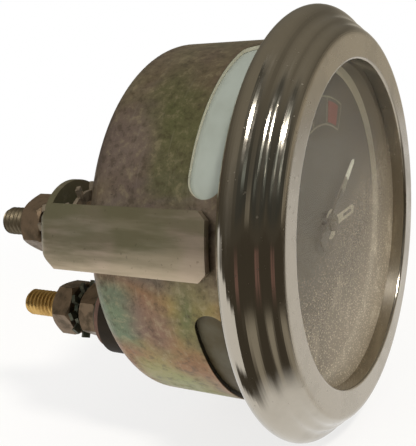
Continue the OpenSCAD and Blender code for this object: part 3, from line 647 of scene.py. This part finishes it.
# angles in degrees from the right, anticlockwise
scaleLook = {"inner": 13.8, "outer": 17.75, "hot": 65.7, "cold": 146.0, "steps": 48,
             "divisions": (84.5, 105.0, 125.5),
             "redInner": 14.15, "redOuter": 17.2, "redFrom": 69.6, "redTo": 82.6, "redSteps": 12}
thermometerLook = {"bulb": (2.1, -0.8), "bulbRadius": 2.2, "stemEnd": (11.9, 0.0), "stemHalf": 0.72,
                   "slot": (7.2, 10.8), "slotHalf": 0.26}


def polar(radius, degrees):
    return radius * math.cos(math.radians(degrees)), radius * math.sin(math.radians(degrees))


def bandOutline(inner, outer, start, end, steps):
    turns = [start + (end - start) * i / steps for i in range(steps + 1)]
    return [polar(inner, a) for a in turns], [polar(outer, a) for a in turns]


def barOutline(a, b, half):
    # two sides of a straight bar from a to b
    a, b = Vector(a), Vector(b)
    along = (b - a).normalized() * half
    side = Vector((-along.y, along.x))
    return [tuple(p - side) for p in (a, b)], [tuple(p + side) for p in (a, b)]


def addPrint(bm, lower, upper):
    # a strip of ink between two lines of points (x, z), with its own small thickness
    back, front = printLook["face"], printLook["face"] - printLook["thick"]
    grid = [[bm.verts.new((x * mm, y * mm, z * mm)) for x, z in line]
            for line, y in ((lower, back), (lower, front), (upper, front), (upper, back))]
    for low, high in zip(grid, grid[1:] + grid[:1]):
        for i in range(len(lower) - 1):
            bm.faces.new((low[i], low[i + 1], high[i + 1], high[i]))
    for i in (0, -1):
        bm.faces.new([line[i] for line in grid])


def finishPrint(bm, name, finish):
    bmesh.ops.recalc_face_normals(bm, faces=bm.faces)
    ink = makeObject(name, bm, finish)
    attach(ink, "gauge")


def makeScale(look):
    bm = bmesh.new()
    inner, outer, half = look["inner"], look["outer"], printLook["line"] / 2
    for radius in (inner, outer):
        addPrint(bm, *bandOutline(radius - half, radius + half, look["hot"], look["cold"],
                                  look["steps"]))
    for turn in (look["hot"], look["cold"]) + look["divisions"]:
        addPrint(bm, *barOutline(polar(inner + half, turn), polar(outer - half, turn), half))
    finishPrint(bm, "scale_lines", finishes["dial_ink"])
    bm = bmesh.new()
    addPrint(bm, *bandOutline(look["redInner"], look["redOuter"], look["redFrom"], look["redTo"],
                              look["redSteps"]))
    finishPrint(bm, "red_zone", finishes["dial_red"])


def makeThermometer(look):
    # a plain thermometer lying on its side: round bulb, stem with a round end and a dark slot
    bm = bmesh.new()
    bulb, end = Vector(look["bulb"]), Vector(look["stemEnd"])
    radius, half, slotHalf = look["bulbRadius"], look["stemHalf"], look["slotHalf"]
    along = (end - bulb).normalized()
    side = Vector((-along.y, along.x))
    slotFrom, slotTo = (x - bulb.x for x in look["slot"])
    roundFrom = (end - bulb).length - half  # where the stem's round end starts

    def edges(stations):
        # both sides of a shape, from (distance along the stem, half width) pairs
        return [[tuple(bulb + along * s + side * w * sign) for s, w in stations]
                for sign in (-1, 1)]

    turns = [math.radians(a) for a in range(0, 132, 12)]
    addPrint(bm, *edges([(-radius * math.cos(a), radius * math.sin(a)) for a in turns]
                        + [(math.sqrt(radius * radius - half * half), half), (slotFrom, half)]))
    for sign in (-1, 1):
        addPrint(bm, *([tuple(bulb + along * s + side * sign * w) for s in (slotFrom, slotTo)]
                       for w in (slotHalf, half)))
    turns = [math.radians(a) for a in range(15, 91, 15)]
    addPrint(bm, *edges([(slotTo, half), (roundFrom, half)]
                        + [(roundFrom + half * math.sin(a), half * math.cos(a)) for a in turns]))
    finishPrint(bm, "thermometer_print", finishes["dial_pale_ink"])


makeScale(scaleLook)
makeThermometer(thermometerLook)
print("dial printed")

# studio: lamps and sizes are in metres, the camera's place and the floor's fade in millimetres
cameraSetup = {"place": (-99.5, -40.9, 20.6), "look": (0.877, 0.461, -0.136),
               "up": (0.139, 0.028, 0.990), "lens": 61.26, "sensor": 36, "nearest": 0.01,
               "shift": (-0.0759, -0.0897)}
lamps = [
    {"name": "key", "place": (-0.342, -0.413, 0.620), "size": 0.12, "power": 5.0,
     "colour": (1.0, 0.97, 0.93)},
    {"name": "spark", "place": (-0.458, -0.540, 0.373), "size": 0.035, "power": 0.012,
     "colour": (1.0, 0.95, 0.85)},
    {"name": "fill", "place": (-0.75, 0.35, 0.35), "size": 0.60, "power": 3.0,
     "colour": (1.0, 0.98, 0.96)},
]
floorLook = {"colour": rgb(236, 233, 227), "rough": 0.9, "half": 3.0, "gap": 0.0001,
             "paper": 0.75, "fade": (70, 240)}
worldLook = {"lampLevel": 0.60}


def makeCamera(setup):
    look, up = Vector(setup["look"]).normalized(), Vector(setup["up"])
    right = look.cross(up).normalized()
    up = right.cross(look)
    data = bpy.data.cameras.new("photoCamera")
    data.lens, data.sensor_width, data.clip_start = setup["lens"], setup["sensor"], setup["nearest"]
    data.shift_x, data.shift_y = setup["shift"]
    camera = bpy.data.objects.new("photoCamera", data)
    turn = Matrix((right, up, -look)).transposed().to_4x4()
    camera.matrix_world = Matrix.Translation(Vector(setup["place"]) * mm) @ turn
    bpy.context.scene.collection.objects.link(camera)
    bpy.context.scene.camera = camera


def makeLamp(lamp):
    data = bpy.data.lights.new(lamp["name"], "AREA")
    data.shape, data.size = "DISK", lamp["size"]
    data.energy, data.color = lamp["power"], lamp["colour"]
    light = bpy.data.objects.new(lamp["name"], data)
    light.location = lamp["place"]
    light.rotation_euler = Vector(lamp["place"]).to_track_quat("Z", "Y").to_euler()
    bpy.context.scene.collection.objects.link(light)


def showToGlossOnly(thing):
    thing.visible_camera = thing.visible_diffuse = False
    thing.visible_shadow = thing.visible_transmission = False


def makeFloor(look):
    # paper that glows to camera, gloss and glass, fully so away from the gauge's shadow
    half, level = look["half"], cadBounds[0][2] - look["gap"]
    corners = ((-half, -half), (half, -half), (half, half), (-half, half))
    bm = bmesh.new()
    bm.faces.new([bm.verts.new((x, y, level)) for x, y in corners])
    f = Finish("floor_paper", colour=look["colour"], rough=look["rough"])
    glow = f.add("Emission", None, {"Color": (1, 1, 1, 1), "Strength": 1.0})
    far = f.step((f.x * f.x + f.y * f.y) ** 0.5, *look["fade"])
    share = (look["paper"] + far * (1 - look["paper"])) * f.rays("Camera", "Glossy", "Transmission")
    f.surface(f.mixShaders(share, f.basic, glow))
    makeObject("floor", bm, f)


# a dim room for the gloss to show, as a dome that only reflections see. Its radius is in metres,
# its rings go up in degrees, and its tones change over millimetres
roomLook = {
    "radius": 0.9, "foot": -3, "rise": 7, "levels": 14, "sides": 36,
    "low": rgb(88, 83, 73), "high": rgb(146, 140, 127), "highAt": (40, 850),
    "wall": rgb(206, 198, 182), "wallTowards": (0.877, -0.461), "wallAt": (250, 700),
    "wallHeight": (420, 60),
    # a tall soft window that leans, with a darker stretch round it; angles in degrees
    "window": rgb(186, 196, 192), "windowTint": 0.9, "windowTurn": 50, "windowEdge": (8, 1),
    "windowFoot": (160, 480), "windowTop": (860, 780), "windowLean": 14, "leanHeight": (500, 100),
    "dim": rgb(72, 73, 69), "dimTint": 0.85, "dimEdge": (62, 18), "dimFoot": (30, 160)}


def makeRoom(look):
    bm = bmesh.new()
    radius, sides = look["radius"], look["sides"]
    turns = [2 * math.pi * i / sides for i in range(sides)]
    rings = []
    for level in range(look["levels"]):
        rise = math.radians(level * look["rise"] + look["foot"])
        rings.append([bm.verts.new((radius * math.cos(rise) * math.cos(a),
                                    radius * math.cos(rise) * math.sin(a),
                                    radius * math.sin(rise))) for a in turns])
    for low, high in zip(rings, rings[1:]):
        for i in range(sides):
            bm.faces.new((low[i], low[(i + 1) % sides], high[(i + 1) % sides], high[i]))
    f = Finish("room_wall")
    east, north = look["wallTowards"]
    wall = f.step(f.x * east + f.y * north, *look["wallAt"]) * f.step(f.z, *look["wallHeight"])
    tone = f.mix(f.mix(look["low"], look["high"], f.step(f.z, *look["highAt"])), look["wall"], wall)
    lean = f.step(f.z, *look["leanHeight"]) * look["windowLean"]
    side = f.add("Math", {"operation": "ABSOLUTE"}, {0: f.bearing() - look["windowTurn"] - lean})
    dim = f.step(side, *look["dimEdge"]) * f.step(f.z, *look["dimFoot"])
    tone = f.mix(tone, look["dim"], dim * look["dimTint"])
    pane = (f.step(side, *look["windowEdge"]) * f.step(f.z, *look["windowFoot"])
            * f.step(f.z, *look["windowTop"]))
    tone = f.mix(tone, look["window"], pane * look["windowTint"])
    f.surface(f.add("Emission", None, {"Color": tone, "Strength": 1.0}))
    showToGlossOnly(makeObject("room", bm, f))


# a dark glowing sheet on the photographer's side, which only the gloss shows: a ring with its radii
# in
# metres, from one angle to another. Its pattern goes by the bearing from the gauge in degrees,
# and by the distance in millimetres
darkSheetLook = {
    "inner": 0.018, "outer": 0.9, "from": 90, "to": 340, "steps": 50,
    "colour": rgb(80, 74, 64), "warm": rgb(142, 112, 104), "haze": rgb(170, 163, 149),
    "edgeAt": (22, 32), "edgeWaves": {"size": 18, "detail": 2}, "edgeWave": 8, "endAt": (-85, -45),
    # how much further out the edge lies: bearings that it grows between, and by how much
    "edgeMoves": (((6, -3), 44), ((-3, -60), 70),
                  ((74, 98), 26), ((100, 135), 70), ((135, 150), 400)),
    # each patch: bearings of its two sides, and distances of its near and far edge
    "patch": (((-32, -20), (8, 0)), ((26, 29), (38, 34))),
    "warmPatch": (((14, 20), (32, 25)), ((60, 110), (500, 300))),
    "hazePatch": (((30, 46), (86, 70)), ((72, 48),))}


def makeDarkSheet(look):
    bm = bmesh.new()
    level, steps, start, end = cadBounds[0][2], look["steps"], look["from"], look["to"]
    turns = [math.radians(start + (end - start) * i / steps) for i in range(steps + 1)]
    inner, outer = ([bm.verts.new((r * math.cos(a), r * math.sin(a), level)) for a in turns]
                    for r in (look["inner"], look["outer"]))
    for i in range(steps):
        bm.faces.new((inner[i], inner[i + 1], outer[i + 1], outer[i]))
    f = Finish("reflected_dark_sheet")
    turn = f.bearing()
    away = (f.x * f.x + f.y * f.y) ** 0.5

    def within(shape):
        share = 1.0
        for value, limits in zip((turn, away), shape):
            for low, high in limits:
                share = f.step(value, low, high) * share
        return share

    edge = away + (f.noise(**look["edgeWaves"]) - 0.5) * look["edgeWave"]
    for limits, move in look["edgeMoves"]:
        edge = edge - f.step(turn, *limits) * move
    shade = f.step(edge, *look["edgeAt"]) * f.step(turn, *look["endAt"])
    tone = f.mix(look["colour"], look["warm"], within(look["warmPatch"]))
    tone = f.mix(tone, look["haze"], within(look["hazePatch"]))
    # the sheet glows in these dark tones, seen only in reflections
    dark = f.add("Emission", None, {"Color": tone, "Strength": 1.0})
    cover = f.add("Math", {"operation": "MAXIMUM"}, {0: shade, 1: within(look["patch"])})
    f.surface(f.mixShaders(cover, f.add("BsdfTransparent"), dark))
    showToGlossOnly(makeObject("reflected_sheet", bm, f))


def makeWorld(look):
    world = bpy.data.worlds.new("studio")
    bpy.context.scene.world = world
    world.use_nodes = True
    w = Sheet(world.node_tree)
    back = world.node_tree.nodes["Background"]
    seen = w.rays("Camera", "Glossy", "Transmission")
    w.feed(back.inputs["Color"], (1, 1, 1, 1))
    w.feed(back.inputs["Strength"], look["lampLevel"] + seen * (1 - look["lampLevel"]))


makeCamera(cameraSetup)
for lamp in lamps:
    makeLamp(lamp)
makeFloor(floorLook)
makeRoom(roomLook)
makeDarkSheet(darkSheetLook)
makeWorld(worldLook)
bpy.context.scene.view_settings.view_transform = "Standard"
print("studio ready")
